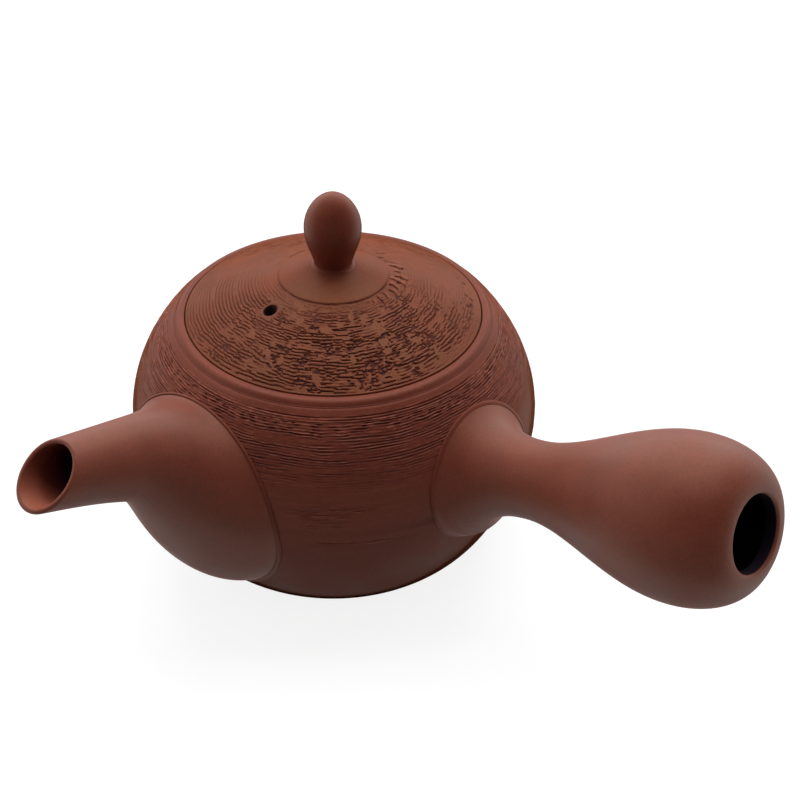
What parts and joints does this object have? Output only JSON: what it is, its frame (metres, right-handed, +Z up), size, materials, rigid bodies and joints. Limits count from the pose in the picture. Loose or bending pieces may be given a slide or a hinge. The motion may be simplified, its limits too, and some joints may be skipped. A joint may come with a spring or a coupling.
{
  "type": "kyusu teapot",
  "caption": "Side-handled teapot of unglazed red clay: round body with combed texture, bell-footed spout, hollow gourd handle, ledge-seated lid with an egg knob and an inner clay strainer.",
  "frame": {"origin": "centre of the flat base, on the axis the pot was thrown on, with the base on z = 0", "axes": "+Z up along the thrown axis, +X along the handle, -Y along the spout"},
  "size_m": [0.1789, 0.148, 0.0979],
  "materials": {
    "red_clay": "unglazed, burnished matt",
    "slip": "unglazed, wiped smooth"
  },
  "bodies": {
    "pot": {"body": "red_clay", "strainer": "red_clay", "strainer_seam": "slip", "spout": "red_clay", "spout_seam": "slip", "handle": "red_clay", "handle_seam": "slip"},
    "lid_body": {"lid": "red_clay", "knob": "red_clay", "knob_seam": "slip"}
  },
  "joints": [
    {"name": "lid_lift", "type": "slide", "parent": "pot", "child": "lid_body", "axis": [0, 0, 1], "range_m": [0, 0.045]}
  ]
}
